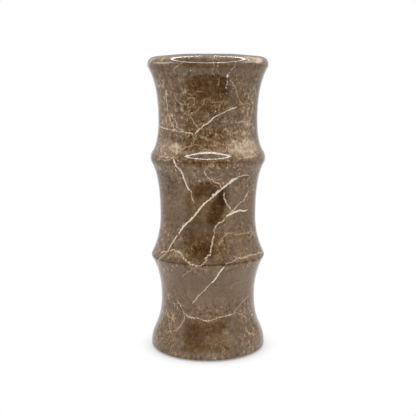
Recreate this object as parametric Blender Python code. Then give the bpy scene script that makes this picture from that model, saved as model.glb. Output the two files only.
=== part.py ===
"""A bamboo-shaped marble vase on four felt pads.

The stone is one turned block: three waisted sections like the joints of a bamboo stalk, parted by two
raised rings, with a round-shouldered rim, a narrow drilled bore and a flat foot. Four round felt pads
stick to the foot. Everything is in metres, +Z is up, and the origin is on the floor under the vase's axis.
"""

import math

import bmesh
import bpy
from mathutils import Vector
from mathutils.geometry import interpolate_bezier

# Felt pads and the film of glue that parts them from the stone
PAD_RADIUS = 0.006
PAD_THICKNESS = 0.001
PAD_EDGE_BEVEL = 0.0002
PAD_GLUE_GAP = 0.0003
PAD_MARGIN = 0.003
PAD_CORNERS = {
    "felt_pad_front_left": 225,
    "felt_pad_front_right": 315,
    "felt_pad_back_right": 45,
    "felt_pad_back_left": 135,
}

# Section lengths, each from one ring to the next, counted up from the underside of the stone
LOWER_SECTION_LENGTH = 0.0812
MIDDLE_SECTION_LENGTH = 0.0843
UPPER_SECTION_LENGTH = 0.0872

# Waists: the slimmest place of each section, and how far it lies above the section's lower end
LOWER_WAIST_RADIUS = 0.0406
LOWER_WAIST_RISE = 0.0449
MIDDLE_WAIST_RADIUS = 0.0411
MIDDLE_WAIST_RISE = 0.0342
UPPER_WAIST_RADIUS = 0.0422
UPPER_WAIST_RISE = 0.0332

# Foot: how far it flares past the lower waist, and the rounding between its side and its flat
FOOT_FLARE = 0.0091
FOOT_ROUND_WIDTH = 0.0015
FOOT_ROUND_HEIGHT = 0.0018

# Rings: how far each stands out past the mean of its two waists, its nose, and the slopes beside it
LOWER_RING_PROUD = 0.00815
LOWER_RING_NOSE = 0.0037
LOWER_RING_SLOPE_BELOW = math.radians(28.3)
LOWER_RING_SLOPE_ABOVE = math.radians(26.4)
UPPER_RING_PROUD = 0.00745
UPPER_RING_NOSE = 0.0095
UPPER_RING_SLOPE_BELOW = math.radians(29.0)
UPPER_RING_SLOPE_ABOVE = math.radians(34.8)

# Rim: its flare past the upper waist, the corner under its widest place and how far that place lies
# below the top, the round shoulder above it, and the broad land that slopes up to the lip
RIM_FLARE = 0.0088
RIM_DEPTH = 0.0097
RIM_CORNER_RADIUS = 0.0027
RIM_SLOPE_BELOW = math.radians(30.3)
SHOULDER_WIDTH = 0.0110
LAND_SLOPE = math.radians(4.5)
LIP_RADIUS = 0.0025

# Bore: drilled from the top, leaving this floor under it
BORE_RADIUS = 0.0175
FLOOR_THICKNESS = 0.0240
BORE_FLOOR_FILLET = 0.0050

# How full the curves are: shares of the tangent's length, as on a spline's handles
FLARE_FULLNESS = 0.66
FOOT_SIDE_FULLNESS = 0.36
LOWER_WAIST_FULLNESS = 0.62
SHOULDER_FULLNESS = 0.74

# Facets
TURN_STEPS = 72
FLARE_POINTS = 6
FOOT_SIDE_POINTS = 9
SHOULDER_POINTS = 10
NOSE_STEPS = 4
ROUND_STEPS = 4
PAD_SIDES = 32
SMOOTH_BELOW = math.radians(35)
SAME_POINT_WITHIN = 1e-6
QUARTER_TURN = math.pi / 2

# Finishes
STONE_COLOUR = (0.20, 0.138, 0.092, 1.0)
STONE_ROUGHNESS = 0.12
FELT_COLOUR = (0.045, 0.030, 0.022, 1.0)
FELT_ROUGHNESS = 0.95

# Sizes that follow
SEAT_HEIGHT = PAD_THICKNESS + PAD_GLUE_GAP
LOWER_RING_HEIGHT = LOWER_SECTION_LENGTH
UPPER_RING_HEIGHT = LOWER_RING_HEIGHT + MIDDLE_SECTION_LENGTH
STONE_HEIGHT = UPPER_RING_HEIGHT + UPPER_SECTION_LENGTH
FOOT_RADIUS = LOWER_WAIST_RADIUS + FOOT_FLARE
FOOT_FLAT_RADIUS = FOOT_RADIUS - FOOT_ROUND_WIDTH
LOWER_RING_RADIUS = (LOWER_WAIST_RADIUS + MIDDLE_WAIST_RADIUS) / 2 + LOWER_RING_PROUD
UPPER_RING_RADIUS = (MIDDLE_WAIST_RADIUS + UPPER_WAIST_RADIUS) / 2 + UPPER_RING_PROUD
RIM_RADIUS = UPPER_WAIST_RADIUS + RIM_FLARE
LIP_CREST_RADIUS = BORE_RADIUS + LIP_RADIUS
RIM_HEIGHT = STONE_HEIGHT - RIM_DEPTH
PAD_CIRCLE_RADIUS = FOOT_FLAT_RADIUS - PAD_MARGIN - PAD_RADIUS


def clear_scene():
    for old in list(bpy.data.objects):
        bpy.data.objects.remove(old)


def make_material(name, colour, roughness):
    """A plain non-metal finish."""
    material = bpy.data.materials.new(name)
    material.use_nodes = True
    surface = material.node_tree.nodes["Principled BSDF"]
    surface.inputs["Base Color"].default_value = colour
    surface.inputs["Roughness"].default_value = roughness
    surface.inputs["Metallic"].default_value = 0.0
    material.diffuse_color = colour
    return material


def arc(centre, radii, start, end, steps):
    """Points of an elliptic arc in the half section; angle 0 points outwards and a quarter turn up."""
    points = []
    for step in range(steps + 1):
        angle = start + (end - start) * step / steps
        points.append(
            Vector((centre[0] + radii[0] * math.cos(angle), centre[1] + radii[1] * math.sin(angle)))
        )
    return points


def nose(radius, height, nose_radius, slope_below, slope_above, steps):
    """The round nose of a ring or corner, from the slope below it to the slope above it."""
    centre = (radius - nose_radius, height)
    return arc(centre, (nose_radius, nose_radius), -slope_below, slope_above, steps)


def flare(end, slope, rising, waist):
    """A hollow curve from the end of a nose, along its slope, to a waist, which it meets upright."""
    along = math.cos(slope) if rising else -math.cos(slope)
    reach = (end.x - waist.x) / math.sin(slope)
    corner = Vector((waist.x, end.y + along * reach))
    end_handle = end.lerp(corner, FLARE_FULLNESS)
    waist_handle = waist.lerp(corner, FLARE_FULLNESS)
    return interpolate_bezier(end, end_handle, waist_handle, waist, FLARE_POINTS)


def foot_side(foot, waist):
    """The side of the foot, upright at its widest place and upright again at the lower waist."""
    rise = Vector((0.0, waist.y - foot.y))
    foot_handle = foot + rise * FOOT_SIDE_FULLNESS
    waist_handle = waist - rise * LOWER_WAIST_FULLNESS
    return interpolate_bezier(foot, foot_handle, waist_handle, waist, FOOT_SIDE_POINTS)


def shoulder(widest, land_end):
    """The rim's shoulder, upright at its widest place, running out into the land that climbs to the lip."""
    fall = math.tan(LAND_SLOPE)
    land_start = Vector((RIM_RADIUS - SHOULDER_WIDTH, 0.0))
    land_start.y = land_end.y - (land_start.x - land_end.x) * fall
    corner = Vector((widest.x, land_start.y - SHOULDER_WIDTH * fall))
    widest_handle = widest.lerp(corner, SHOULDER_FULLNESS)
    land_handle = land_start.lerp(corner, SHOULDER_FULLNESS)
    return interpolate_bezier(widest, widest_handle, land_handle, land_start, SHOULDER_POINTS)


def outside():
    """The outside of the stone, from the foot's flat up to the rim's widest place."""
    lower_waist = Vector((LOWER_WAIST_RADIUS, LOWER_WAIST_RISE))
    middle_waist = Vector((MIDDLE_WAIST_RADIUS, LOWER_RING_HEIGHT + MIDDLE_WAIST_RISE))
    upper_waist = Vector((UPPER_WAIST_RADIUS, UPPER_RING_HEIGHT + UPPER_WAIST_RISE))
    foot_round = arc(
        (FOOT_FLAT_RADIUS, FOOT_ROUND_HEIGHT),
        (FOOT_ROUND_WIDTH, FOOT_ROUND_HEIGHT),
        -QUARTER_TURN,
        0.0,
        ROUND_STEPS,
    )
    lower_ring = nose(
        LOWER_RING_RADIUS,
        LOWER_RING_HEIGHT,
        LOWER_RING_NOSE,
        LOWER_RING_SLOPE_BELOW,
        LOWER_RING_SLOPE_ABOVE,
        NOSE_STEPS,
    )
    upper_ring = nose(
        UPPER_RING_RADIUS,
        UPPER_RING_HEIGHT,
        UPPER_RING_NOSE,
        UPPER_RING_SLOPE_BELOW,
        UPPER_RING_SLOPE_ABOVE,
        NOSE_STEPS,
    )
    rim_corner = nose(
        RIM_RADIUS, RIM_HEIGHT, RIM_CORNER_RADIUS, RIM_SLOPE_BELOW, 0.0, NOSE_STEPS
    )
    return [
        *foot_round,
        *foot_side(foot_round[-1], lower_waist),
        *reversed(flare(lower_ring[0], LOWER_RING_SLOPE_BELOW, False, lower_waist)),
        *lower_ring,
        *flare(lower_ring[-1], LOWER_RING_SLOPE_ABOVE, True, middle_waist),
        *reversed(flare(upper_ring[0], UPPER_RING_SLOPE_BELOW, False, middle_waist)),
        *upper_ring,
        *flare(upper_ring[-1], UPPER_RING_SLOPE_ABOVE, True, upper_waist),
        *reversed(flare(rim_corner[0], RIM_SLOPE_BELOW, False, upper_waist)),
        *rim_corner,
    ]


def lip_and_bore():
    """The rounded lip, from the sloping land over its crest, and the bore down to its filleted floor."""
    lip = arc(
        (LIP_CREST_RADIUS, STONE_HEIGHT - LIP_RADIUS),
        (LIP_RADIUS, LIP_RADIUS),
        QUARTER_TURN - LAND_SLOPE,
        math.pi,
        ROUND_STEPS,
    )
    floor_fillet = arc(
        (BORE_RADIUS - BORE_FLOOR_FILLET, FLOOR_THICKNESS + BORE_FLOOR_FILLET),
        (BORE_FLOOR_FILLET, BORE_FLOOR_FILLET),
        0.0,
        -QUARTER_TURN,
        NOSE_STEPS,
    )
    return [*lip, *floor_fillet]


def half_section():
    """The stone's closed half section, from the axis under the foot round to the axis in the bore."""
    under_axis = Vector((0.0, 0.0))
    bore_axis = Vector((0.0, FLOOR_THICKNESS))
    outer = outside()
    inner = lip_and_bore()
    points = [under_axis]
    for point in [*outer, *shoulder(outer[-1], inner[0]), *inner, bore_axis]:
        if (point - points[-1]).length > SAME_POINT_WITHIN:
            points.append(point)
    return points


def new_object(name, shape, material, parent):
    mesh = bpy.data.meshes.new(name)
    shape.to_mesh(mesh)
    shape.free()
    mesh.materials.append(material)
    mesh.shade_smooth()
    mesh.set_sharp_from_angle(angle=SMOOTH_BELOW)
    piece = bpy.data.objects.new(name, mesh)
    piece.parent = parent
    bpy.context.collection.objects.link(piece)
    return piece


def turn_stone(material, parent):
    """Spins the half section into the stone body."""
    shape = bmesh.new()
    corners = [shape.verts.new((point.x, 0.0, point.y)) for point in half_section()]
    edges = [shape.edges.new(pair) for pair in zip(corners, corners[1:])]
    bmesh.ops.spin(
        shape,
        geom=corners + edges,
        cent=(0.0, 0.0, 0.0),
        axis=(0.0, 0.0, 1.0),
        angle=math.tau,
        steps=TURN_STEPS,
        use_merge=True,
    )
    bmesh.ops.remove_doubles(shape, verts=shape.verts, dist=SAME_POINT_WITHIN)
    bmesh.ops.recalc_face_normals(shape, faces=shape.faces)
    stone = new_object("stone_body", shape, material, parent)
    stone.location.z = SEAT_HEIGHT
    return stone


def cut_pad(name, bearing, material, parent):
    """One felt disc, standing on the floor under the foot's flat."""
    shape = bmesh.new()
    bmesh.ops.create_cone(
        shape,
        cap_ends=True,
        segments=PAD_SIDES,
        radius1=PAD_RADIUS,
        radius2=PAD_RADIUS,
        depth=PAD_THICKNESS,
    )
    rims = [edge for edge in shape.edges if len(edge.link_faces[0].verts) != len(edge.link_faces[1].verts)]
    bmesh.ops.bevel(
        shape,
        geom=rims,
        offset=PAD_EDGE_BEVEL,
        segments=1,
        profile=0.5,
        affect="EDGES",
        material=-1,
    )
    pad = new_object(name, shape, material, parent)
    pad.location = (
        PAD_CIRCLE_RADIUS * math.cos(bearing),
        PAD_CIRCLE_RADIUS * math.sin(bearing),
        PAD_THICKNESS / 2,
    )
    return pad


def main():
    clear_scene()
    marble = make_material("brown_marble", STONE_COLOUR, STONE_ROUGHNESS)
    felt = make_material("brown_felt", FELT_COLOUR, FELT_ROUGHNESS)
    vase = bpy.data.objects.new("vase", None)
    bpy.context.collection.objects.link(vase)
    turn_stone(marble, vase)
    for name, bearing in PAD_CORNERS.items():
        cut_pad(name, math.radians(bearing), felt, vase)


main()
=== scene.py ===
"""The looks of a bamboo-shaped marble vase: its polished stone, its felt pads and a small white studio.

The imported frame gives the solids; this script turns the stone again as a fine surface, cuts the pads,
and gives both their finish. Everything is in metres, +Z is up, and the camera stands on the -Y side.
"""

import math

import bmesh
import bpy
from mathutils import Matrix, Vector
from mathutils.geometry import interpolate_bezier


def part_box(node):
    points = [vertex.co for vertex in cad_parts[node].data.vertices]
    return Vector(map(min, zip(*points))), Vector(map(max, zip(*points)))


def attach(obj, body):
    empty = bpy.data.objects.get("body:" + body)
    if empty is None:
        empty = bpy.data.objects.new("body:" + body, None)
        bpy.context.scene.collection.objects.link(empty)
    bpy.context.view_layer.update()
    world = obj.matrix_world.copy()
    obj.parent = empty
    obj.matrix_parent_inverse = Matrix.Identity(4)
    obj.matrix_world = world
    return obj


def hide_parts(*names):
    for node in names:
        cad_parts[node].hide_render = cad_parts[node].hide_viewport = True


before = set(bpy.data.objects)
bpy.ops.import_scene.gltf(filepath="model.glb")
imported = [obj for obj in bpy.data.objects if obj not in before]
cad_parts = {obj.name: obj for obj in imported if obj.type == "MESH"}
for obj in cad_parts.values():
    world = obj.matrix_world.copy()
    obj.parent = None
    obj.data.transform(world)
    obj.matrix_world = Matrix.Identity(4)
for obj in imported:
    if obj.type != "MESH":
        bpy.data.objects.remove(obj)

bl_info = {
    "name": "Marble Vase",
    "version": (1, 0, 0),
    "blender": (4, 5, 0),
    "location": "3D View > Sidebar > Vase",
    "description": "Turns a bamboo-shaped marble vase and sets it in a white studio",
    "category": "Object",
}

STONE_LOW, STONE_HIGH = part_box("stone_body")
QUARTER = math.pi / 2
# Millimetres in a metre
MILLIMETRES = 1000
# The photograph's width, and the camera's shift in it, in pixels
PHOTO_WIDTH = 416
SHIFT_RIGHT = 0.1
SHIFT_UP = -5.46


def length(name, default, description):
    """A size in metres that shows in the panel."""
    return bpy.props.FloatProperty(
        name=name,
        description=description,
        default=default,
        min=0.0,
        precision=4,
        subtype="DISTANCE",
        unit="LENGTH",
    )


def slope(name, degrees, description):
    """An angle off the upright that shows in the panel."""
    return bpy.props.FloatProperty(
        name=name,
        description=description,
        default=math.radians(degrees),
        subtype="ANGLE",
        unit="ROTATION",
    )


def number(name, default, description):
    """A plain number that shows in the panel."""
    return bpy.props.FloatProperty(name=name, description=description, default=default)


def srgb(red, green, blue):
    """A colour as a screen shows it, 0 to 255, as the linear colour that shaders take."""
    linear = []
    for part in (red, green, blue):
        share = part / 255
        linear.append(share / 12.92 if share <= 0.04045 else ((share + 0.055) / 1.055) ** 2.4)
    return (*linear, 1.0)


def colour(name, shade, description):
    """A colour that shows in the panel, given as a screen shows it."""
    return bpy.props.FloatVectorProperty(
        name=name, description=description, default=srgb(*shade), size=4, min=0.0, max=1.0, subtype="COLOR"
    )


class VaseShape(bpy.types.PropertyGroup):
    """Sizes of the turned stone."""

    seat: length("Seat", STONE_LOW.z, "Height of the stone's underside over the floor")
    height: length("Height", STONE_HIGH.z - STONE_LOW.z, "Height of the stone")
    lower_length: length("Lower section", 0.0812, "From the foot to the lower ring")
    middle_length: length("Middle section", 0.0843, "From the lower ring to the upper ring")
    lower_waist: length("Lower waist", 0.0406, "Radius at the lower section's slimmest place")
    lower_waist_rise: length("Lower waist height", 0.0449, "Height of the lower waist over the foot")
    middle_waist: length("Middle waist", 0.0411, "Radius at the middle section's slimmest place")
    middle_waist_rise: length("Middle waist rise", 0.0342, "Height of that waist over the lower ring")
    upper_waist: length("Upper waist", 0.0422, "Radius at the upper section's slimmest place")
    upper_waist_rise: length("Upper waist rise", 0.0332, "Height of that waist over the upper ring")
    foot: length("Foot", 0.0497, "Radius of the foot at its widest")
    foot_round_width: length("Foot rounding width", 0.0015, "How far the foot's rounding reaches in")
    foot_round_height: length("Foot rounding height", 0.0018, "How high the foot's rounding reaches")
    lower_ring: length("Lower ring", 0.0490, "Radius of the lower ring")
    lower_nose: length("Lower ring's nose", 0.0037, "Rounding of the lower ring's edge")
    lower_slope_below: slope("Lower ring, slope below", 28.3, "Slope under the lower ring")
    lower_slope_above: slope("Lower ring, slope above", 26.4, "Slope over the lower ring")
    upper_ring: length("Upper ring", 0.0491, "Radius of the upper ring")
    upper_nose: length("Upper ring's nose", 0.0095, "Rounding of the upper ring's edge")
    upper_slope_below: slope("Upper ring, slope below", 29.0, "Slope under the upper ring")
    upper_slope_above: slope("Upper ring, slope above", 34.8, "Slope over the upper ring")
    rim: length("Rim", 0.0510, "Radius of the rim")
    rim_depth: length("Rim depth", 0.0097, "From the top down to the rim's widest place")
    rim_corner: length("Rim corner", 0.0027, "Rounding under the rim's widest place")
    rim_slope_below: slope("Rim, slope below", 30.3, "Slope under the rim")
    shoulder_width: length("Shoulder width", 0.0110, "How far the rim's round shoulder reaches in")
    land_slope: slope("Land slope", 4.5, "Slope of the broad top between shoulder and lip")
    lip: length("Lip", 0.0200, "Radius of the lip's crest")
    bore: length("Bore", 0.0175, "Radius of the bore")
    floor: length("Stone floor", 0.0240, "Thickness of the stone under the bore")
    floor_fillet: length("Floor fillet", 0.0050, "Rounding round the bore's floor")
    felt_edge: length("Felt edge", 0.0003, "Rounding of the felt discs' edges")


class MarbleLook(bpy.types.PropertyGroup):
    """Colours of the marble and the felt, and how large and how strong the marble's grain and cracks are."""

    deep: colour("Deep brown", (58, 39, 21), "The stone's darkest grains")
    dark: colour("Dark brown", (78, 57, 36), "Dark brown stone")
    ground: colour("Ground", (100, 78, 56), "The stone between its veins")
    grey: colour("Light brown", (126, 104, 81), "Lighter, smoother stone")
    pale: colour("Pale", (156, 134, 111), "Pale grains and broken patches")
    # The cream also paints the highlight streaks over the upper ring
    cream: colour("Cream", (212, 190, 165), "Cream veins and the palest patches")
    # The white also paints the highlights on the rim's shoulders
    tan: colour("Tan", (180, 150, 117), "Thin tan veins and healed cracks")
    white: colour("White", (231, 218, 202), "White veins")
    felt_dark: colour("Dark felt", (46, 34, 27), "The felt between its fibres")
    felt_light: colour("Light felt", (84, 67, 55), "The felt's fibres")
    ground_tone: number("Ground tone", 0.43, "The stone's usual shade, from 0, deep brown, to 1, cream")
    cloud_size: length("Cloud size", 0.026, "How large the clouds are")
    fleck_size: length("Fleck size", 0.0036, "How large the flecks are")
    grain_size: length("Grain size", 0.0011, "How large the fine grains are")
    crack_size: length("Crack size", 0.009, "How large the pieces between healed cracks are")
    warmth: number("Warmth", 0.13, "How much richer the colour is where the stone is lively")
    cloud_strength: number("Cloud strength", 0.35, "How far the clouds move the shade")
    fleck_strength: number("Fleck strength", 2.1, "How far the flecks move the shade")
    grain_strength: number("Grain strength", 1.2, "How far the grain moves the shade")
    piece_strength: number("Piece strength", 0.13, "How far small broken pieces differ in shade")
    join_strength: number("Join strength", 0.07, "How much paler the joins between small pieces are")
    bit_strength: number("Bit strength", 0.45, "How much paler the scattered bits are")
    crack_strength: number("Crack strength", 0.22, "How much tan the healed cracks show")


class StudioSizes(bpy.types.PropertyGroup):
    """Where the camera stands, how far the floor reaches, and the overhead loop of light."""

    camera_distance: length("Camera distance", 0.750, "From the vase's axis to the camera")
    camera_height: length("Camera height", 0.2570, "Height of the camera over the floor")
    aim_height: length("Aim height", 0.127, "Height on the vase's axis that the camera looks at")
    lens: number("Lens", 76.1, "Focal length in millimetres on a 36 mm frame")
    floor_size: length("Floor", 0.6, "Length of the white floor's sides")
    floor_front: length("Floor front", 0.26, "How far the floor reaches in front of the vase's axis")
    shadow_start: length("Shadow start", 0.037, "Where the floor starts to fade to white, from the axis")
    shadow_reach: length("Shadow reach", 0.064, "Where the floor has faded to white, from the axis")
    lamp_height: length("Lamp height", 0.50, "Height of the loop over the floor")
    loop_width: length("Loop width", 0.545, "Widest place of the overhead loop of light, across the view")
    loop_middle: length("Loop middle", 0.150, "How far in front of the axis the loop is widest")
    loop_front: length("Loop front", 0.350, "How far the loop reaches forward from its widest place")
    loop_back: length("Loop back", 1.40, "How far the loop reaches back from its widest place")
    loop_taper: length("Loop taper", 0.36, "How far back the loop has narrowed to half its width")
    loop_band: number("Loop band", 0.11, "Width of the bright band, as a share of the loop's half width")
    loop_front_band: number("Loop front band", 0.38, "The same at the front of the loop")
    loop_light: number("Loop light", 14.0, "Radiance of the bright band, where white paper is 1")
    loop_inside: number("Inside the loop", 0.15, "Radiance inside the loop")


# Facets of the fine surface
TURN_STEPS = 256
CURVE_POINTS = 18
FOOT_SIDE_POINTS = 24
NOSE_STEPS = 12
ROUND_STEPS = 14
PAD_STEPS = 72
PAD_EDGE_STEPS = 5
SAME_POINT_WITHIN = 1e-6
# How far a curve's handles reach: towards their common corner, or along the foot's side
FLARE_FULLNESS = 0.66
SHOULDER_FULLNESS = 0.74
FOOT_LOWER_REACH = 0.36
FOOT_UPPER_REACH = 0.62


def arc(centre, radii, start, end, steps):
    """Points of an elliptic arc in the half section; angle 0 points outwards and a quarter turn up."""
    points = []
    for step in range(steps + 1):
        angle = start + (end - start) * step / steps
        points.append(
            Vector((centre[0] + radii[0] * math.cos(angle), centre[1] + radii[1] * math.sin(angle)))
        )
    return points


def nose(radius, height, rounding, below, above):
    """The round nose of a ring or corner, from the slope below it to the slope above it."""
    return arc((radius - rounding, height), (rounding, rounding), -below, above, NOSE_STEPS)


def drawn_to(corner, start, end, fullness):
    """A curve from start to end that is drawn towards a corner."""
    handles = start.lerp(corner, fullness), end.lerp(corner, fullness)
    return interpolate_bezier(start, *handles, end, CURVE_POINTS)


def flare(end, lean, rising, waist):
    """A hollow curve from the end of a nose, along its slope, to a waist, which it meets upright."""
    along = math.cos(lean) if rising else -math.cos(lean)
    reach = (end.x - waist.x) / math.sin(lean)
    return drawn_to(Vector((waist.x, end.y + along * reach)), end, waist, FLARE_FULLNESS)


def foot_side(foot, waist):
    """The side of the foot, upright at its widest place and upright again at the lower waist."""
    rise = Vector((0.0, waist.y - foot.y))
    handles = foot + rise * FOOT_LOWER_REACH, waist - rise * FOOT_UPPER_REACH
    return interpolate_bezier(foot, *handles, waist, FOOT_SIDE_POINTS)


def shoulder(widest, land_end, size):
    """The rim's round shoulder, upright at its widest place, running out into the sloping land."""
    fall = math.tan(size.land_slope)
    land_start = Vector((size.rim - size.shoulder_width, 0.0))
    land_start.y = land_end.y - (land_start.x - land_end.x) * fall
    corner = Vector((widest.x, land_start.y - size.shoulder_width * fall))
    return drawn_to(corner, widest, land_start, SHOULDER_FULLNESS)


def half_section(size):
    """The stone's half section, from the axis under the foot round to the axis in the bore."""
    lower_ring_height = size.lower_length
    upper_ring_height = lower_ring_height + size.middle_length
    rim_height = size.height - size.rim_depth
    lower_waist = Vector((size.lower_waist, size.lower_waist_rise))
    middle_waist = Vector((size.middle_waist, lower_ring_height + size.middle_waist_rise))
    upper_waist = Vector((size.upper_waist, upper_ring_height + size.upper_waist_rise))
    foot_flat = size.foot - size.foot_round_width
    foot_round = arc(
        (foot_flat, size.foot_round_height),
        (size.foot_round_width, size.foot_round_height),
        -QUARTER,
        0.0,
        ROUND_STEPS,
    )
    lower = nose(
        size.lower_ring, lower_ring_height, size.lower_nose, size.lower_slope_below, size.lower_slope_above
    )
    upper = nose(
        size.upper_ring, upper_ring_height, size.upper_nose, size.upper_slope_below, size.upper_slope_above
    )
    corner = nose(size.rim, rim_height, size.rim_corner, size.rim_slope_below, 0.0)
    lip = size.lip - size.bore
    lip_round = arc(
        (size.lip, size.height - lip), (lip, lip), QUARTER - size.land_slope, math.pi, ROUND_STEPS
    )
    floor_round = arc(
        (size.bore - size.floor_fillet, size.floor + size.floor_fillet),
        (size.floor_fillet, size.floor_fillet),
        0.0,
        -QUARTER,
        NOSE_STEPS,
    )
    points = [Vector((0.0, 0.0))]
    for point in [
        *foot_round,
        *foot_side(foot_round[-1], lower_waist),
        *reversed(flare(lower[0], size.lower_slope_below, False, lower_waist)),
        *lower,
        *flare(lower[-1], size.lower_slope_above, True, middle_waist),
        *reversed(flare(upper[0], size.upper_slope_below, False, middle_waist)),
        *upper,
        *flare(upper[-1], size.upper_slope_above, True, upper_waist),
        *reversed(flare(corner[0], size.rim_slope_below, False, upper_waist)),
        *corner,
        *shoulder(corner[-1], lip_round[0], size),
        *lip_round,
        *floor_round,
        Vector((0.0, size.floor)),
    ]:
        if (point - points[-1]).length > SAME_POINT_WITHIN:
            points.append(point)
    return points


def spun(points, steps):
    """A half section turned once round the upright axis, as a closed shape that faces outwards."""
    shape = bmesh.new()
    corners = [shape.verts.new((point.x, 0.0, point.y)) for point in points]
    edges = [shape.edges.new(pair) for pair in zip(corners, corners[1:])]
    bmesh.ops.spin(
        shape,
        geom=corners + edges,
        cent=(0.0, 0.0, 0.0),
        axis=(0.0, 0.0, 1.0),
        angle=math.tau,
        steps=steps,
        use_merge=True,
    )
    bmesh.ops.remove_doubles(shape, verts=shape.verts, dist=SAME_POINT_WITHIN)
    bmesh.ops.recalc_face_normals(shape, faces=shape.faces)
    return shape


def finished_piece(name, shape, material, slot, *nodes):
    """Makes an object from a bmesh, smooth, in its finish, riding on the root and standing for its nodes."""
    mesh = bpy.data.meshes.new(name)
    shape.to_mesh(mesh)
    shape.free()
    mesh.materials.append(material)
    mesh.shade_smooth()
    piece = bpy.data.objects.new(name, mesh)
    bpy.context.scene.collection.objects.link(piece)
    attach(piece, "root")
    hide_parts(*nodes)


class Graph:
    """Adds shader nodes to a tree and joins them as it goes."""

    def __init__(self, tree):
        self.tree = tree

    def add(self, kind, *inputs, **settings):
        """Adds a node. An input is a number, a colour, a socket, or None to leave it alone."""
        node = self.tree.nodes.new(kind)
        for name, value in settings.items():
            setattr(node, name, value)
        for socket, value in zip(node.inputs, inputs):
            self.join(value, socket)
        return node

    def join(self, value, socket):
        """Links a socket to an input, or sets the input to a number or a colour."""
        if isinstance(value, bpy.types.NodeSocket):
            self.tree.links.new(value, socket)
        elif value is not None:
            socket.default_value = value

    def math(self, operation, *inputs):
        """The result of one sum."""
        return self.add("ShaderNodeMath", *inputs, operation=operation).outputs[0]

    def times(self, value, factor):
        """A value times a factor."""
        return self.math("MULTIPLY", value, factor)

    def scaled(self, value, factor, added):
        """A value times a factor, and something added."""
        return self.math("MULTIPLY_ADD", value, factor, added)

    def vector(self, operation, *inputs):
        """The result of one sum on places: a number for a length, and otherwise a place."""
        node = self.add("ShaderNodeVectorMath", *inputs, operation=operation)
        return node.outputs["Value" if operation == "LENGTH" else "Vector"]

    def noise(self, place, size_mm, detail=3.0, roughness=0.5, output="Fac"):
        """Soft noise whose lumps are about size_mm across, from 0 to 1. Its Color is three of them."""
        node = self.add("ShaderNodeTexNoise")
        self.join(place, node.inputs["Vector"])
        node.inputs["Scale"].default_value = 1 / size_mm
        node.inputs["Detail"].default_value = detail
        node.inputs["Roughness"].default_value = roughness
        return node.outputs[output]

    def ramp(self, value, low, high):
        """0 at low and 1 at high, with a soft rise between them."""
        node = self.add("ShaderNodeMapRange", interpolation_type="SMOOTHSTEP", clamp=False)
        for name, number in (("Value", value), ("From Min", low), ("From Max", high)):
            self.join(number, node.inputs[name])
        return node.outputs["Result"]

    def height(self, up, low, high):
        """The same for how high a direction points, between two angles in degrees."""
        return self.ramp(up, math.sin(math.radians(low)), math.sin(math.radians(high)))

    def bearing(self, turn, low, high):
        """The same for a bearing, between two angles in degrees."""
        return self.ramp(turn, math.radians(low), math.radians(high))

    def number_mix(self, share, under, over):
        """A number between two, by share."""
        node = self.add("ShaderNodeMix", data_type="FLOAT")
        for name, value in (("Factor", share), ("A", under), ("B", over)):
            self.join(value, node.inputs[name])
        return node.outputs["Result"]

    def mix(self, share, under, over):
        """A colour between two, by share."""
        node = self.add("ShaderNodeMix", data_type="RGBA")
        self.join(share, node.inputs["Factor"])
        self.join(under, node.inputs["A"])
        self.join(over, node.inputs["B"])
        return node.outputs["Result"]

    def bump(self, height, strength, depth):
        """A surface normal tipped by a height that stands depth metres proud."""
        node = self.add("ShaderNodeBump")
        for name, value in (("Strength", strength), ("Distance", depth), ("Height", height)):
            self.join(value, node.inputs[name])
        return node.outputs["Normal"]


def new_material(name, kind=Graph):
    """A material, a graph that adds nodes to it, and its surface shader."""
    material = bpy.data.materials.new(name)
    material.use_nodes = True
    return material, kind(material.node_tree), material.node_tree.nodes["Principled BSDF"]


def places_mm(graph):
    """The place on the object in millimetres."""
    place = graph.add("ShaderNodeTexCoord").outputs["Object"]
    return graph.vector("MULTIPLY", place, (MILLIMETRES,) * 3)


# Veins, drawn on the unrolled stone: width in millimetres, strength, then points from end to end,
# each a bearing in degrees round the axis (0 faces the camera, + is to its right) and a height in millimetres
WHITE_VEINS = (
    (0.7, 0.95, (34, 212), (20, 208), (8, 204), (0, 199), (-8, 195), (-15, 190)),
    (0.6, 0.70, (51, 154.5), (40, 155.3), (31, 154.6)),
    (1.9, 0.95, (34, 154.3), (25, 151), (19, 147.5), (12, 144), (4, 138)),
    (1.3, 0.90, (5, 139), (-4, 133), (-16, 123), (-29, 113), (-36, 106)),
    (1.0, 0.75, (-36, 106), (-43, 98), (-49, 90)),
    (1.0, 0.90, (-35, 171), (-32, 165), (-28, 160), (-26, 154), (-23, 147), (-20, 143)),
    (0.5, 0.70, (-49, 207), (-42, 202), (-38, 199), (-38, 192)),
    (1.0, 0.80, (54, 125), (46, 125), (40, 126)),
    (1.5, 0.95, (43, 126), (34, 125), (28, 124), (21, 120.5)),
    (1.2, 0.95, (17, 82), (12, 77), (9, 72), (3, 66)),
    (0.8, 0.55, (4, 67), (-8, 57), (-15, 52), (-20, 47)),
)
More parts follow.
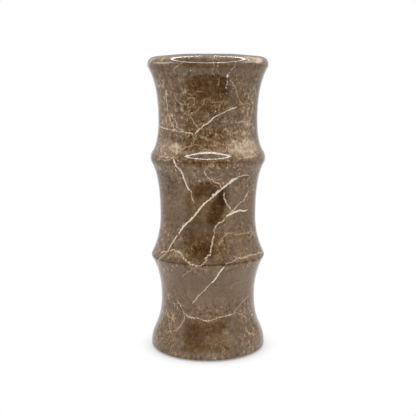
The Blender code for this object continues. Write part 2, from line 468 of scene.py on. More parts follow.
CREAM_VEINS_AND_HIGHLIGHTS = (
    (0.8, 0.9, (-20, 144), (-18, 139), (-16, 133)),
    (0.8, 0.95, (-15, 190), (-21, 191), (-30, 192), (-37, 192), (-51, 193), (-78, 194)),
    (1.1, 0.95, (23, 121), (16, 118), (10, 115), (8, 112), (7, 107)),
    (1.0, 0.95, (7, 108), (6, 103), (5, 100), (3, 95), (4, 92)),
    (0.9, 0.95, (4, 92), (-1, 89), (-3, 86), (-9, 82)),
    (0.9, 0.95, (18, 143), (20, 134), (25, 130), (29, 127)),
    (0.9, 0.95, (54, 143), (47, 136), (39, 132), (32, 128), (26, 123)),
    (0.7, 0.85, (86, 84), (70, 86), (52, 87), (33, 87), (23, 85), (17, 82)),
    (0.45, 0.7, (19, 238), (22, 241), (24, 244), (26, 249)),
    (0.4, 0.5, (12, 252), (9, 247), (8, 242), (12, 238), (11, 233), (8, 228)),
    (1.3, 0.95, (-49, 226), (-52, 219), (-52, 213), (-50, 206)),
    (0.7, 0.9, (-3, 162), (0, 156), (5, 153), (12, 149), (15, 145)),
    (0.7, 0.85, (-42, 49), (-34, 44), (-28, 38), (-19, 36), (-8, 35), (0, 34), (14, 36), (24, 37), (31, 38)),
    (0.8, 0.90, (-61, 88), (-47, 91), (-38, 93), (-30, 91), (-24, 87), (-20, 85), (-13, 83), (-7, 83)),
    (1.5, 0.95, (-75, 242), (-71, 247), (-67, 251), (-60, 256)),
    # Painted highlights: the next three thin streaks, just over the upper ring, are drawn as cream veins
    (0.6, 0.8, (-58, 170.2), (-46, 170.5), (-35, 171)),
    (0.5, 0.7, (-58, 168.2), (-46, 168.3), (-38, 168.6)),
    (0.6, 0.8, (29, 169.8), (40, 170.3), (57, 171.3)),
    (0.8, 0.8, (-50, 206), (-47, 201), (-44, 197), (-41, 190)),
    (0.7, 0.7, (-44, 197), (-36, 195), (-28, 193)),
    (1.6, 0.8, (-38, 183), (-35, 180), (-33, 176), (-36, 173)),
    (1.2, 0.6, (-47, 179), (-41, 177), (-36, 175)),
    (0.7, 0.6, (40, 182), (46, 178), (49, 174)),
    (0.6, 0.6, (55, 184), (50, 180), (46, 175)),
)
TAN_VEINS = (
    (0.4, 0.6, (58, 213), (46, 214), (35, 213)),
    (0.7, 0.95, (20, 235), (24, 232), (29, 227), (32, 223), (36, 217), (46, 213)),
    (0.6, 0.9, (-40, 226), (-38, 220), (-35, 216), (-29, 214), (-20, 219), (-11, 219)),
    (0.7, 1.0, (-29, 215), (-27, 207), (-20, 205), (-16, 201), (-13, 197), (-9, 194)),
    (0.55, 0.9, (-20, 206), (-12, 209), (-6, 214), (-1, 219), (4, 216), (16, 217)),
    (0.4, 0.7, (-5, 210), (0, 207), (1, 203), (0, 198)),
    (0.5, 0.7, (-11, 191), (-4, 187), (4, 185)),
    (0.5, 0.8, (-31, 221), (-24, 224), (-17, 222), (-10, 225), (-3, 223)),
    (0.5, 0.8, (-17, 222), (-15, 216), (-20, 210), (-21, 205)),
    (0.5, 0.7, (16, 217), (12, 211), (13, 205), (8, 201)),
    (0.5, 0.7, (-10, 175), (-2, 178), (6, 176), (13, 178)),
    (0.5, 0.8, (2, 252), (5, 246), (4, 240), (8, 236)),
    (0.7, 1.0, (-9, 196), (-13, 189), (-18, 182), (-24, 179), (-32, 175), (-37, 170)),
    (0.6, 0.8, (-4, 178), (-14, 182), (-22, 176)),
    (0.7, 0.9, (-21, 249), (-28, 245), (-35, 240)),
    (0.5, 0.7, (-8, 82), (-12, 81), (-20, 77), (-31, 70)),
    (0.7, 0.9, (11, 97), (16, 103), (20, 107), (28, 108), (34, 106), (48, 106), (64, 105)),
    (0.5, 0.7, (-57, 91), (-61, 83)),
    (0.3, 0.6, (25, 61), (38, 65), (54, 64)),
    (0.7, 0.9, (30, 38), (36, 41), (44, 45), (60, 50)),
    (0.8, 0.9, (30, 38), (40, 37), (49, 32), (50, 26)),
    (0.8, 0.95, (50, 27), (47, 23), (51, 19), (60, 16)),
    (0.9, 0.95, (-62, 38), (-54, 31), (-49, 25), (-43, 20)),
    (1.2, 0.9, (-50, 37), (-46, 33), (-42, 28)),
    (0.8, 0.9, (-56, 34), (-48, 32), (-41, 34)),
    (0.8, 0.9, (-44, 38), (-46, 31), (-48, 25)),
    (0.8, 0.95, (-28, 38), (-31, 30), (-36, 25), (-44, 21)),
)
# The far side, out of the photograph's sight, goes on in the same way
WHITE_VEINS += (
    (1.1, 0.8, (84, 160), (98, 170), (121, 193), (138, 204), (152, 224)),
    (0.7, 0.6, (-49, 90), (-64, 78), (-83, 66), (-104, 60), (-118, 44)),
    (1.0, 0.8, (172, 118), (154, 104), (146, 88), (128, 74), (112, 52), (106, 34)),
    (0.9, 0.8, (-170, 226), (-152, 212), (-141, 190), (-122, 176), (-112, 154)),
)
CREAM_VEINS_AND_HIGHLIGHTS += (
    (0.6, 0.8, (-78, 194), (-98, 201), (-118, 198), (-139, 212)),
    (0.7, 0.8, (86, 84), (104, 92), (126, 91), (146, 101)),
    (0.6, 0.8, (72, 224), (86, 226), (104, 238), (118, 251)),
    (0.7, 0.8, (-112, 154), (-101, 136), (-106, 118), (-92, 98)),
    (0.6, 0.8, (-172, 64), (-150, 58), (-136, 40), (-118, 30)),
    (0.6, 0.8, (164, 160), (140, 152), (122, 136), (98, 130), (78, 118)),
)
TAN_VEINS += (
    (0.5, 0.8, (60, 50), (82, 58), (100, 52), (124, 60), (142, 54)),
    (0.5, 0.8, (-62, 88), (-86, 96), (-110, 92), (-132, 102), (-156, 98)),
    (0.5, 0.8, (62, 105), (80, 100), (96, 108), (118, 104)),
    (0.5, 0.8, (-60, 150), (-82, 142), (-98, 150), (-124, 146), (-148, 158)),
    (0.5, 0.8, (70, 196), (88, 186), (104, 190), (130, 178), (160, 184)),
    (0.5, 0.8, (-70, 232), (-92, 226), (-110, 236), (-132, 240), (-160, 250)),
)
# Patches: bearing and height of the middle, half width and half height in millimetres, lean in degrees,
# and strength. Shades make the stone darker or lighter, with 1 from its darkest brown to its palest cream.
SHADES = (
    # Painted dark reflection: the next three rows darken the front of the upper section, where the polish
    # mirrors the dark doorway
    (-2, 229, 20, 11, 0, -0.15),
    (16, 230, 9, 9, 0, -0.10),
    (24, 222, 5, 9, 0, -0.10),
    (-12, 200, 8, 6, 0, -0.06),
    (-56, 239, 17, 5, 0, -0.07),
    (17, 240, 10, 5, 0, -0.08),
    (2, 244.5, 50, 5.5, 0, -0.06),
    (49, 250, 12, 3, 0, 0.28),
    (48, 198, 8, 14, 0, 0.16),
    (56, 212, 9, 18, 0, 0.10),
    (-58, 208, 16, 30, 0, 0.12),
    (48, 177, 17, 8, 0, 0.30),
    (46, 184, 22, 18, 0, 0.08),
    (18, 180, 14, 7, 0, 0.16),
    (-36, 180, 7, 4, 0, 0.30),
    (-54, 177, 18, 8, 0, 0.24),
    (-26, 174, 10, 2.5, 0, 0.28),
    (-47, 201, 6, 6, 0, 0.10),
    (-3, 145, 12, 7, 0, -0.22),
    (18, 139, 6, 8, 0, -0.24),
    (9, 126, 6.5, 18, -22, -0.32),
    (-15, 108, 12, 10, 40, -0.15),
    (-5, 94, 10, 8, 0, -0.24),
    (-54, 147, 16, 11, 0, -0.07),
    (-33, 90, 7, 3, 0, 0.30),
    (36, 90, 13, 4, 0, 0.07),
    (-64, 87, 12, 3, 0, 0.06),
    (10, 79, 4, 6, 0, 0.12),
    (45, 73, 12, 10, 0, 0.06),
    (4, 22, 26, 12, 0, -0.11),
    (-20, 25, 9, 8, 0, -0.10),
    (19, 32, 8, 5, 0, -0.10),
    (20, 24, 4, 3, 0, 0.22),
    (-46, 29, 10, 7, 0, 0.06),
    (50, 35, 12, 6, 0, 0.05),
    (12, 18, 14, 6, 0, 0.14),
    (-56, 254, 22, 6, 0, 0.24),
    (52, 254, 20, 6, 0, 0.22),
    (96, 214, 16, 12, 20, -0.15),
    (132, 138, 14, 20, -15, -0.18),
    (-100, 120, 12, 18, 10, -0.15),
    (-150, 30, 22, 14, 0, -0.15),
    (-165, 190, 14, 17, 30, -0.18),
    (92, 154, 9, 12, 0, 0.22),
    (176, 84, 12, 9, 20, 0.20),
    (-124, 234, 11, 9, 0, 0.16),
)
# Calm, greyish places with little grain
CALM = (
    (0, 128, 62, 24, 0, 0.75),
    (10, 62, 66, 18, 0, 0.95),
    (-4, 92, 66, 14, 0, 0.35),
    (-28, 157, 18, 5, 0, 0.3),
    (-2, 229, 18, 10, 0, 0.45),
    (34, 233, 14, 8, 0, 0.4),
    (2, 244.5, 50, 5.5, 0, 0.7),
    (0, 8, 60, 4, 0, 0.6),
    (2, 26, 44, 15, 0, 0.75),
    (48, 178, 22, 12, 0, 0.55),
    (-46, 178, 20, 9, 0, 0.45),
    (0, 270, 300, 14, 0, 0.45),
    (150, 215, 30, 22, 0, 0.6),
    (-112, 196, 28, 18, 0, 0.5),
    (-160, 98, 40, 10, 0, 0.4),
    (175, 20, 60, 16, 0, 0.5),
    (165, 62, 60, 18, 0, 0.8),
    (-150, 128, 40, 22, 0, 0.7),
    (110, 124, 20, 16, 0, 0.6),
)
# Painted shade: thin dark bands close under the two rings
PAINTED_SHADE_UNDER_RINGS = (
    (0, 167.4, 34, 1.0, 0, -0.20),
    (0, 83.3, 56, 0.9, 0, -0.22),
)
# Small white marks, and painted highlights on the rim's shoulders
WHITE_MARKS_AND_HIGHLIGHTS = (
    (19, 236.5, 0.7, 1.4, 0, 1.0),
    (20, 232.2, 0.5, 0.7, 0, 0.8),
    (20, 230.2, 0.5, 0.7, 0, 0.9),
    (19.5, 227.5, 0.5, 0.8, 0, 0.8),
    (20, 223.2, 0.5, 0.5, 0, 0.5),
    (-16, 241.4, 0.6, 0.6, 0, 0.9),
    (8, 208.4, 0.6, 0.5, 0, 0.8),
    (42, 199.3, 6.9, 0.6, 0, 0.35),
    (19, 194.1, 0.4, 1.3, 0, 0.5),
    (22, 192.8, 0.4, 1.2, 0, 0.4),
    (-26.5, 224.6, 0.4, 2.8, 0, 0.35),
    (-24, 224.6, 0.4, 2.8, 0, 0.35),
    # Painted highlights: the next three rows, on the rim's shoulders
    (-46, 247.1, 13, 0.8, 0, 0.45),
    (44, 247.8, 10, 1.1, 0, 0.40),
    (58, 249.0, 4, 2.0, 20, 0.45),
)
# Radius at which the stone is unrolled, and the heights between which its top starts, in millimetres
UNROLLED_RADIUS = 45.0
TOP_HEIGHTS = (248, 251)
# Veins: the room round their curve, their soft edge in widths, the fading at their ends in millimetres,
# its largest share of the vein, and how much of it runs on past the end
CURVE_ROOM = 2.4
VEIN_EDGE = (0.8, 0.2)
END_FADE = 2.0
LONGEST_FADE = 0.12
END_OVERRUN = 0.1
# A patch's soft edge in half widths, and the share of a crack's width that shows in full
PATCH_EDGE = (1.25, 0.55)
CRACK_CORE = 0.2
# How places stray from what is drawn: the noise's size and reach in millimetres, and its detail
DRIFT = (7.0, 3.0, 2.0)
WAVER = (1.6, 1.1, 2.0)
JAG = (1.8, 4.0, 4.0)
SCATTER = (8.0, 9.0, 2.0)
# Calm places lose this much grain, keep at least this much, and are this much paler
CALMING = 0.8
LEAST_LIVELY = 0.2
CALM_PALER = 0.05
# The grain also comes and goes by itself: its size in millimetres, soft edge, least and swing
RESTLESS_SIZE = 8.0
RESTLESS_EDGE = (0.38, 0.62)
RESTLESS_LEAST = 0.62
RESTLESS_SWING = 0.55
# Grains stand taller than wide; broken pieces are pushed out of true, with sizes in millimetres
GRAIN_SQUEEZE = (1.0, 1.0, 0.5)
PUSH_SIZE = 3.5
PUSH_REACH = 2.2
# Small pieces, as a share of the large ones, and the widths of their joins and of cracks in millimetres
SMALL_SHARE = 0.35
JOIN_WIDTH = 0.4
CRACK_WIDTH = 0.42
# Where grain and flecks are pale enough for a bit, and where cracks are broken off
BIT_GRAIN = (0.58, 0.70)
BIT_FLECKS = (0.50, 0.62)
BROKEN_SIZE = 5.0
BROKEN_EDGE = (0.42, 0.58)
# How ragged a vein's width is: the noise's size in millimetres, swing, level and least
RAGGED_SIZE = 1.6
RAGGED_SWING = 3.2
RAGGED_LEVEL = -0.6
RAGGED_LEAST = 0.25
# Where a vein's colour thins out, and the strengths at which its tan edge and its core come in
PATCHY_SIZE = 2.0
PATCHY_EDGE = (0.36, 0.56)
TAN_EDGE = (0.0, 0.5)
CORE_EDGE = (0.2, 0.85)
# Honed stone starts at these radii in the bore and heights at the foot, in millimetres
HONED_BORE = (17.65, 17.55)
HONED_FOOT = (1.7, 1.4)
# How much paler and how rough it is, beside the polish and its wear, and the drill's rings in the bore
HONED_PALER = 0.25
HONED_ROUGHNESS = 0.5
POLISH_ROUGHNESS = 0.045
POLISH_WEAR = 0.03
DRILL_RING_STEP = 0.9
DRILL_RING_SHARE = 0.5
# Felt: sizes in millimetres of its tangle and its fibres, which lie two ways, and where they turn pale
FELT_TANGLE = 0.6
FIBRE_SIZE = 0.5
FIBRE_WAYS = ((1.0, 3.0, 3.0), (3.0, 1.0, 3.0))
FIBRE_SHADES = (0.40, 0.75)


def unrolled(bearing, height):
    """A place on the unrolled stone, in millimetres."""
    return Vector((math.radians(bearing) * UNROLLED_RADIUS, height))


class MarbleGraph(Graph):
    """Draws veins and patches on the unrolled stone: its places are pairs, across and up, in millimetres."""

    def unroll(self, place):
        """The unrolled place, and the distance from the axis. The top is unrolled as more of the side."""
        x, y, z = self.add("ShaderNodeSeparateXYZ", place).outputs
        bearing = self.math("ARCTAN2", x, self.times(y, -1.0))
        radius = self.math("SQRT", self.scaled(x, x, self.times(y, y)))
        inwards = self.math("MAXIMUM", self.math("SUBTRACT", UNROLLED_RADIUS, radius), 0.0)
        up = self.scaled(inwards, self.ramp(z, *TOP_HEIGHTS), z)
        return (self.times(bearing, UNROLLED_RADIUS), up), radius

    def stray(self, place, flat, size_mm, reach_mm, detail):
        """Shifts the unrolled place by soft noise, so that what is drawn there wavers."""
        noise = self.noise(place, size_mm, detail, output="Color")
        shifts = self.add("ShaderNodeSeparateColor", noise).outputs
        strayed = []
        for shift, part in zip(shifts, flat):
            level = self.math("SUBTRACT", part, reach_mm / 2)
            strayed.append(self.scaled(shift, reach_mm, level))
        return strayed

    def turned(self, flat, middle, lean, width, height):
        """How far a place lies along and across a leaning direction, in widths and heights from a middle."""
        x, y = flat
        cosine, sine = math.cos(lean), math.sin(lean)
        middle_along = middle.x * cosine + middle.y * sine
        middle_across = middle.y * cosine - middle.x * sine
        along = self.scaled(y, sine / width, -middle_along / width)
        across = self.scaled(y, cosine / height, -middle_across / height)
        return (
            self.scaled(x, cosine / width, along),
            self.scaled(x, -sine / height, across),
        )

    def begin_group(self, name, *inputs):
        """Starts a node group with one output; returns the graph inside it and its input sockets."""
        tree = bpy.data.node_groups.new(name, "ShaderNodeTree")
        for given_name in inputs:
            tree.interface.new_socket(given_name, in_out="INPUT", socket_type="NodeSocketFloat")
        tree.interface.new_socket("Strength", in_out="OUTPUT", socket_type="NodeSocketFloat")
        inside = MarbleGraph(tree)
        return inside, list(inside.add("NodeGroupInput").outputs)[: len(inputs)]

    def end_group(self, inside, strength, *given):
        """Closes a node group and adds it to this graph."""
        inside.add("NodeGroupOutput", strength)
        return self.add("ShaderNodeGroup", *given, node_tree=inside.tree).outputs[0]

    def vein(self, flat, ragged, width, strength, points):
        """How strongly one vein shows, from 0 to its strength."""
        route = [unrolled(*point) for point in points]
        run = route[-1] - route[0]
        lean = math.atan2(run.y, run.x)
        side = Vector((-math.sin(lean), math.cos(lean)))
        sides = [(point - route[0]).dot(side) for point in route]
        span = CURVE_ROOM * max(width, *map(abs, sides))
        along, across = self.turned(flat, route[0], lean, run.length, span)
        curve = self.add("ShaderNodeFloatCurve")
        self.join(along, curve.inputs["Value"])
        handles = curve.mapping.curves[0].points
        spots = []
        for point, offset in zip(route, sides):
            spots.append(((point - route[0]).dot(run) / run.length_squared, 0.5 + offset / span))
        handles[0].location = spots[0]
        handles[-1].location = spots[-1]
        for spot in spots[1:-1]:
            handles.new(*spot)
        curve.mapping.update()
        off = self.math("SUBTRACT", self.math("ADD", across, 0.5), curve.outputs["Value"])
        off = self.times(self.math("ABSOLUTE", off), ragged)
        core = self.ramp(off, *(edge * width / span for edge in VEIN_EDGE))
        ends = self.math("ABSOLUTE", self.math("SUBTRACT", along, 0.5))
        fade = min(LONGEST_FADE, END_FADE / run.length)
        core = self.times(core, self.ramp(ends, 0.5 + END_OVERRUN * fade, 0.5 - fade))
        return self.times(core, strength)

    def veins(self, name, flat, ragged, routes):
        """The strongest of several veins at each place."""
        inside, (across, up, worn) = self.begin_group(name, "Across", "Up", "Ragged")
        strongest = 0.0
        for width, strength, *points in routes:
            one = inside.vein((across, up), worn, width, strength, points)
            strongest = inside.math("MAXIMUM", one, strongest)
        return self.end_group(inside, strongest, *flat, ragged)

    def patches(self, name, flat, spots):
        """The sum of several soft patches at each place."""
        inside, place = self.begin_group(name, "Across", "Up")
        total = 0.0
        for bearing, height, half_width, half_height, lean, strength in spots:
            middle = unrolled(bearing, height)
            x, y = inside.turned(place, middle, math.radians(lean), half_width, half_height)
            away = inside.math("SQRT", inside.scaled(x, x, inside.times(y, y)))
            total = inside.scaled(inside.ramp(away, *PATCH_EDGE), strength, total)
        return self.end_group(inside, total, *flat)

    def swing(self, tone, signal, share, strength):
        """Moves a tone up and down with a signal that swings about one half."""
        moved = self.times(self.math("SUBTRACT", signal, 0.5), share)
        return self.scaled(moved, strength, tone)

    def cracks(self, place, size_mm, width_mm):
        """Healed cracks between broken pieces of stone."""
        node = self.add("ShaderNodeTexVoronoi", feature="DISTANCE_TO_EDGE")
        self.join(place, node.inputs["Vector"])
        node.inputs["Scale"].default_value = 1 / size_mm
        return self.ramp(node.outputs["Distance"], width_mm / size_mm, CRACK_CORE * width_mm / size_mm)

    def pieces(self, place, size_mm):
        """A random number for each broken piece of stone."""
        node = self.add("ShaderNodeTexVoronoi")
        self.join(place, node.inputs["Vector"])
        node.inputs["Scale"].default_value = 1 / size_mm
        return self.add("ShaderNodeSeparateColor", node.outputs["Color"]).outputs[0]

    def blend(self, tone, stops):
        """The colour of a tone from 0 to 1, on a scale of evenly spaced colours."""
        node = self.add("ShaderNodeValToRGB", tone)
        scale = node.color_ramp.elements
        for place in range(1, len(stops) - 1):
            scale.new(place / (len(stops) - 1))
        for element, shade in zip(scale, stops):
            element.color = shade
        return node.outputs["Color"]


def bare_stone(graph, look, place, flat):
    """The stone under its veins: its colour, with painted shade under the rings and painted dark reflection
    on the upper section, its fine grain, and the noise that breaks its cracks.
    """
    loose = graph.stray(place, flat, *SCATTER)
    calm = graph.patches("calm_places", loose, CALM)
    lively = graph.math("MAXIMUM", graph.scaled(calm, -CALMING, 1.0), LEAST_LIVELY)
    restless = graph.ramp(graph.noise(place, RESTLESS_SIZE), *RESTLESS_EDGE)
    restless = graph.scaled(restless, RESTLESS_SWING, RESTLESS_LEAST)
    lively = graph.times(lively, restless)

    tone = graph.math("ADD", graph.patches("shades", loose, SHADES), look.ground_tone)
    # The painted shade under the two rings darkens the tone here
    tone = graph.math("ADD", graph.patches("painted_ring_shade", flat, PAINTED_SHADE_UNDER_RINGS), tone)
    tone = graph.scaled(calm, CALM_PALER, tone)
    clouds = graph.noise(place, look.cloud_size * MILLIMETRES, detail=4.0)
    tone = graph.swing(tone, clouds, 1.0, look.cloud_strength)
    flecks = graph.noise(place, look.fleck_size * MILLIMETRES, detail=5.0, roughness=0.75)
    tone = graph.swing(tone, flecks, lively, look.fleck_strength)
    squeezed = graph.vector("MULTIPLY", place, GRAIN_SQUEEZE)
    grain = graph.noise(squeezed, look.grain_size * MILLIMETRES, roughness=0.7)
    tone = graph.swing(tone, grain, lively, look.grain_strength)
    push = graph.noise(place, PUSH_SIZE, detail=2.0, output="Color")
    pushed = graph.vector("ADD", place, graph.vector("MULTIPLY", push, (PUSH_REACH,) * 3))
    small = SMALL_SHARE * look.crack_size * MILLIMETRES
    tone = graph.swing(tone, graph.pieces(pushed, small), lively, look.piece_strength)
    joins = graph.times(graph.cracks(pushed, small, JOIN_WIDTH), lively)
    tone = graph.scaled(joins, look.join_strength, tone)
    bits = graph.times(graph.ramp(grain, *BIT_GRAIN), graph.ramp(flecks, *BIT_FLECKS))
    tone = graph.scaled(graph.times(bits, lively), look.bit_strength, tone)
    stone = graph.blend(tone, (look.deep, look.dark, look.ground, look.grey, look.pale, look.cream))
    warmth = graph.scaled(lively, look.warmth, 1.0)
    stone = graph.add("ShaderNodeHueSaturation", None, warmth, None, None, stone).outputs["Color"]

    broken = graph.noise(place, BROKEN_SIZE)
    crack = graph.cracks(pushed, look.crack_size * MILLIMETRES, CRACK_WIDTH)
    crack = graph.times(crack, graph.ramp(broken, *BROKEN_EDGE))
    crack = graph.times(graph.times(crack, lively), look.crack_strength)
    return graph.mix(crack, stone, look.tan), grain, broken


def veined_stone(graph, look, place, flat, stone):
    """The stone's colour with its tan, cream and white veins, its white marks, and painted highlights over
    the upper ring and on the rim's shoulders drawn over it.
    """
    drifting = graph.stray(place, flat, *DRIFT)
    wavering = graph.stray(place, drifting, *WAVER)
    jagged = graph.stray(place, drifting, *JAG)
    ragged = graph.noise(place, RAGGED_SIZE, roughness=0.7)
    ragged = graph.scaled(ragged, RAGGED_SWING, RAGGED_LEVEL)
    ragged = graph.math("DIVIDE", 1.0, graph.math("MAXIMUM", ragged, RAGGED_LEAST))
    patchy = graph.ramp(graph.noise(place, PATCHY_SIZE, roughness=0.6), *PATCHY_EDGE)
    for name, routes, shade, course, tan_share, steady in (
        ("tan_veins", TAN_VEINS, look.tan, jagged, 0.45, 0.65),
        ("cream_veins_and_painted_highlights", CREAM_VEINS_AND_HIGHLIGHTS, look.cream, jagged, 0.55, 0.4),
        ("white_veins", WHITE_VEINS, look.white, wavering, 0.3, 0.7),
    ):
        strength = graph.veins(name, course, ragged, routes)
        edge = graph.times(graph.ramp(strength, *TAN_EDGE), tan_share)
        stone = graph.mix(edge, stone, look.tan)
        core = graph.times(graph.ramp(strength, *CORE_EDGE), graph.scaled(patchy, 1.0 - steady, steady))
        stone = graph.mix(core, stone, shade)
    # White marks and the painted highlights on the rim's shoulders go on last
    return graph.mix(graph.patches("marks", wavering, WHITE_MARKS_AND_HIGHLIGHTS), stone, look.white)


def polished_marble(look):
    """Brown marble with pale veins, polished outside, and honed in the bore and under the foot."""
    material, graph, surface = new_material("polished_marble", MarbleGraph)
    place = places_mm(graph)
    flat, radius = graph.unroll(place)
    stone, grain, broken = bare_stone(graph, look, place, flat)
    stone = veined_stone(graph, look, place, flat, stone)
    height = graph.add("ShaderNodeSeparateXYZ", place).outputs["Z"]
    honed = graph.math("MAXIMUM", graph.ramp(radius, *HONED_BORE), graph.ramp(height, *HONED_FOOT))
    stone = graph.mix(graph.times(honed, HONED_PALER), stone, look.pale)
    graph.join(stone, surface.inputs["Base Color"])
    polish = graph.scaled(broken, POLISH_WEAR, POLISH_ROUGHNESS)
    graph.join(graph.number_mix(honed, polish, HONED_ROUGHNESS), surface.inputs["Roughness"])
    rings = graph.math("SINE", graph.times(height, math.tau / DRILL_RING_STEP))
    relief = graph.times(graph.scaled(rings, DRILL_RING_SHARE, grain), honed)
    graph.join(graph.bump(relief, strength=0.5, depth=0.00003), surface.inputs["Normal"])
    surface.inputs["IOR"].default_value = 1.5
    return material


def brown_felt(look):
    """Pressed felt: matted fibres in two browns, with a soft nap."""
    material, graph, surface = new_material("brown_felt")
    place = places_mm(graph)
    tangle = graph.vector("ADD", place, graph.noise(place, FELT_TANGLE, detail=2.0, output="Color"))
    matted = 0.0
    for way in FIBRE_WAYS:
        drawn_out = graph.vector("MULTIPLY", tangle, way)
        fibres = graph.noise(drawn_out, FIBRE_SIZE, detail=4.0, roughness=0.7)
        matted = graph.math("MAXIMUM", fibres, matted)
    shade = graph.mix(graph.ramp(matted, *FIBRE_SHADES), look.felt_dark, look.felt_light)
    graph.join(shade, surface.inputs["Base Color"])
    graph.join(graph.bump(matted, strength=0.8, depth=0.0002), surface.inputs["Normal"])
    surface.inputs["Roughness"].default_value = 0.95
    surface.inputs["Sheen Weight"].default_value = 0.3
    surface.inputs["Specular IOR Level"].default_value = 0.2
    return material


class TurnStone(bpy.types.Operator):
    """Turn the stone as one fine surface of revolution"""

    bl_idname = "vase.turn_stone"
    bl_label = "Turn the stone"

    def execute(self, context):
        size = context.scene.vase_shape
        shape = spun(half_section(size), TURN_STEPS)
        bmesh.ops.translate(shape, verts=shape.verts, vec=(0.0, 0.0, size.seat))
        marble = polished_marble(context.scene.marble_look)
        finished_piece("vase_stone", shape, marble, "marble", "stone_body")
        return {"FINISHED"}


class CutPads(bpy.types.Operator):
    """Cut the four felt pads under the foot"""

    bl_idname = "vase.cut_pads"
    bl_label = "Cut the felt pads"

    def execute(self, context):
        felt = brown_felt(context.scene.marble_look)
        edge = context.scene.vase_shape.felt_edge
        for node in sorted(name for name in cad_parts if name.startswith("felt_pad")):
            low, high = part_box(node)
            centre = (low + high) / 2
            radius = (high.x - low.x) / 2
            section = [
                Vector((0.0, low.z)),
                *arc((radius - edge, low.z + edge), (edge, edge), -QUARTER, 0.0, PAD_EDGE_STEPS),
                *arc((radius - edge, high.z - edge), (edge, edge), 0.0, QUARTER, PAD_EDGE_STEPS),
                Vector((0.0, high.z)),
            ]
            shape = spun(section, PAD_STEPS)
            bmesh.ops.translate(shape, verts=shape.verts, vec=(centre.x, centre.y, 0.0))
            finished_piece(node.replace("felt_pad", "felt_disc"), shape, felt, "felt", node)
        return {"FINISHED"}


# The share of light that the floor returns, and the radiance of the walls that the polish mirrors
FLOOR_WHITE = 0.82
WALL_LIGHT = 0.95
# The room's soft light on everything else: its radiance at eye level, and how much it gains overhead
SOFT_LIGHT = 0.88
SOFT_RISE = 0.55
# How much light the doorway takes, how much of its darkness its threshold takes, and how much radiance
# the other parts of the mirrored room take
DOORWAY_DARK = 0.97
THRESHOLD_PALER = 0.5
FRONT_CEILING_DARK = 0.55
SIDE_DARK = 0.25
BACK_CEILING_DARK = 0.6
# Where each part starts and is full: bearings from the camera's side and heights over the horizon, in degrees
DOORWAY_MIDDLE = -5
DOORWAY_SIDES = (55, 42)
DOORWAY_TOP = (42, 22)
THRESHOLD_FOOT = (-11, -7)
THRESHOLD_TOP = (3, -1)
FRONT_CEILING = (25, 45)
SIDE_FRONT = (50, 75)
SIDE_BACK = (162, 148)
BACK_CEILING = (-3, 2)
BACK_SIDES = (155, 170)
# Softness of the lamp's edges, as a share of the loop's half width
LOOP_SOFTNESS = 0.02


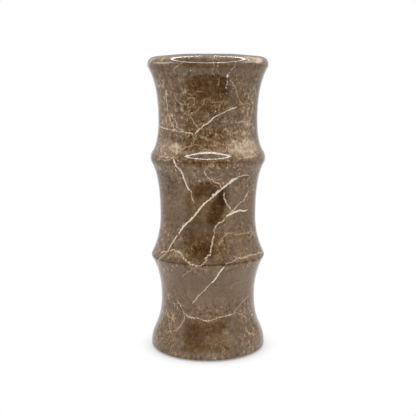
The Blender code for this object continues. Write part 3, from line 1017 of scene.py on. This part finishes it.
class SetStudio(bpy.types.Operator):
    """Lay the white floor, light the room, hang the overhead loop of light and place the camera"""

    bl_idname = "vase.set_studio"
    bl_label = "Set up the studio"

    def execute(self, context):
        studio = context.scene.vase_studio
        scene = context.scene
        self.lay_floor(studio)
        self.light_world(scene)
        self.hang_loop(studio)
        self.place_camera(scene, studio)
        scene.view_settings.view_transform = "Standard"
        return {"FINISHED"}

    def lay_floor(self, studio):
        """A white floor that keeps the vase's soft shadow and fades into the white room beyond it."""
        half = studio.floor_size / 2
        shape = bmesh.new()
        bmesh.ops.create_grid(shape, x_segments=1, y_segments=1, size=half)
        bmesh.ops.translate(shape, verts=shape.verts, vec=(0, half - studio.floor_front, 0))
        mesh = bpy.data.meshes.new("floor")
        shape.to_mesh(mesh)
        shape.free()
        material, graph, surface = new_material("white_floor")
        surface.inputs["Base Color"].default_value = (FLOOR_WHITE, FLOOR_WHITE, FLOOR_WHITE, 1)
        surface.inputs["Roughness"].default_value = 0.6
        surface.inputs["Specular IOR Level"].default_value = 0.2
        rays = graph.add("ShaderNodeLightPath").outputs
        place = graph.add("ShaderNodeTexCoord").outputs["Object"]
        far = graph.ramp(graph.vector("LENGTH", place), studio.shadow_start, studio.shadow_reach)
        seen = graph.math("MAXIMUM", rays["Is Camera Ray"], rays["Is Glossy Ray"])
        white = graph.add("ShaderNodeEmission").outputs["Emission"]
        faded = graph.times(far, seen)
        finish = graph.add("ShaderNodeMixShader", faded, surface.outputs["BSDF"], white)
        output = material.node_tree.nodes["Material Output"]
        graph.join(finish.outputs["Shader"], output.inputs["Surface"])
        mesh.materials.append(material)
        floor = bpy.data.objects.new("floor", mesh)
        bpy.context.scene.collection.objects.link(floor)

    def light_world(self, scene):
        """A white room. Polished stone mirrors its walls, its ceiling and the doorway behind the camera."""
        world = bpy.data.worlds.new("white_room")
        scene.world = world
        world.use_nodes = True
        graph = Graph(world.node_tree)
        background = world.node_tree.nodes["Background"]
        rays = graph.add("ShaderNodeLightPath").outputs
        way = graph.add("ShaderNodeTexCoord").outputs["Generated"]
        x, y, up = graph.add("ShaderNodeSeparateXYZ", way).outputs
        bearing = graph.math("ARCTAN2", x, graph.times(y, -1.0))
        turn = graph.math("ABSOLUTE", bearing)
        beside = graph.math("SUBTRACT", bearing, math.radians(DOORWAY_MIDDLE))
        doorway = graph.bearing(graph.math("ABSOLUTE", beside), *DOORWAY_SIDES)
        doorway = graph.times(doorway, graph.height(up, *DOORWAY_TOP))
        threshold = graph.times(graph.height(up, *THRESHOLD_FOOT), graph.height(up, *THRESHOLD_TOP))
        doorway = graph.times(doorway, graph.scaled(threshold, -THRESHOLD_PALER, 1.0))
        side = graph.times(graph.bearing(turn, *SIDE_FRONT), graph.bearing(turn, *SIDE_BACK))
        behind = graph.times(graph.height(up, *BACK_CEILING), graph.bearing(turn, *BACK_SIDES))
        room = WALL_LIGHT
        for share, darkness in (
            (graph.height(up, *FRONT_CEILING), FRONT_CEILING_DARK),
            (side, SIDE_DARK),
            (behind, BACK_CEILING_DARK),
        ):
            room = graph.math("MINIMUM", graph.scaled(share, -darkness, WALL_LIGHT), room)
        room = graph.times(room, graph.scaled(doorway, -DOORWAY_DARK, 1.0))
        soft = graph.scaled(up, SOFT_RISE, SOFT_LIGHT)
        strength = graph.number_mix(rays["Is Glossy Ray"], soft, room)
        strength = graph.number_mix(rays["Is Camera Ray"], strength, 1.0)
        graph.join(strength, background.inputs["Strength"])
        background.inputs["Color"].default_value = (1, 1, 1, 1)

    def hang_loop(self, studio):
        """One overhead lamp, lit in a loop, round in front and drawn out behind.

        It shows only as a reflection in the polish. Its power is that of a radiance of 1 all over, which the
        loop then multiplies.
        """
        depth = studio.loop_front + studio.loop_back
        light = bpy.data.lights.new("overhead_loop", "AREA")
        light.shape = "RECTANGLE"
        light.size, light.size_y = studio.loop_width, depth
        light.energy = math.pi * light.size * light.size_y
        light.use_nodes = True
        lamp = bpy.data.objects.new("overhead_loop", light)
        lamp.location = (0, depth / 2 - studio.loop_front - studio.loop_middle, studio.lamp_height)
        lamp.visible_camera = False
        lamp.visible_diffuse = False
        bpy.context.scene.collection.objects.link(lamp)
        graph = Graph(light.node_tree)
        spot = graph.add("ShaderNodeNewGeometry").outputs["Parametric"]
        across, along, _ = graph.add("ShaderNodeSeparateXYZ", spot).outputs
        across = graph.math("ABSOLUTE", graph.scaled(across, 2.0, -1.0))
        along = graph.scaled(along, depth, -studio.loop_front)
        forward = graph.math("DIVIDE", graph.math("MINIMUM", along, 0.0), studio.loop_front)
        backward = graph.math("DIVIDE", graph.math("MAXIMUM", along, 0.0), studio.loop_taper)
        widened = graph.times(across, graph.scaled(backward, backward, 1.0))
        squared = graph.scaled(widened, widened, graph.times(forward, forward))
        reach = graph.math("SQRT", squared)
        wider = studio.loop_front_band - studio.loop_band
        band = graph.scaled(forward, wider, -studio.loop_band)
        outer = 1.0 - LOOP_SOFTNESS
        inner = graph.math("ADD", band, outer)
        band = graph.ramp(reach, inner, graph.math("ADD", inner, LOOP_SOFTNESS))
        beyond = graph.ramp(reach, outer, 1.0)
        brighter = studio.loop_light - studio.loop_inside
        shine = graph.scaled(band, brighter, studio.loop_inside)
        shine = graph.times(shine, graph.math("SUBTRACT", 1.0, beyond))
        graph.join(shine, light.node_tree.nodes["Emission"].inputs["Strength"])

    def place_camera(self, scene, studio):
        """The photograph's view of the vase."""
        data = bpy.data.cameras.new("camera")
        data.lens = studio.lens
        data.sensor_width = 36.0
        data.shift_x = SHIFT_RIGHT / PHOTO_WIDTH
        data.shift_y = SHIFT_UP / PHOTO_WIDTH
        camera = bpy.data.objects.new("camera", data)
        camera.location = (0, -studio.camera_distance, studio.camera_height)
        aim = Vector((0, 0, studio.aim_height))
        camera.rotation_euler = (aim - camera.location).to_track_quat("-Z", "Y").to_euler()
        scene.collection.objects.link(camera)
        scene.camera = camera


class VasePanel(bpy.types.Panel):
    """Lists the vase's sizes and the steps that make it"""

    bl_idname = "VIEW3D_PT_marble_vase"
    bl_label = "Marble Vase"
    bl_space_type = "VIEW_3D"
    bl_region_type = "UI"
    bl_category = "Vase"

    def draw(self, context):
        for group in (context.scene.vase_shape, context.scene.marble_look, context.scene.vase_studio):
            box = self.layout.box()
            for name in group.bl_rna.properties.keys():
                if name not in {"rna_type", "name"}:
                    box.prop(group, name)
        for step in STEPS:
            self.layout.operator(step.bl_idname)


STEPS = (TurnStone, CutPads, SetStudio)
CLASSES = (VaseShape, MarbleLook, StudioSizes, *STEPS, VasePanel)


def register():
    for item in CLASSES:
        bpy.utils.register_class(item)
    bpy.types.Scene.vase_shape = bpy.props.PointerProperty(type=VaseShape)
    bpy.types.Scene.marble_look = bpy.props.PointerProperty(type=MarbleLook)
    bpy.types.Scene.vase_studio = bpy.props.PointerProperty(type=StudioSizes)


def unregister():
    del bpy.types.Scene.vase_studio
    del bpy.types.Scene.marble_look
    del bpy.types.Scene.vase_shape
    for item in reversed(CLASSES):
        bpy.utils.unregister_class(item)


def main():
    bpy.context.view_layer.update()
    register()
    bpy.ops.vase.turn_stone()
    bpy.ops.vase.cut_pads()
    bpy.ops.vase.set_studio()


if __name__ == "__main__":
    main()
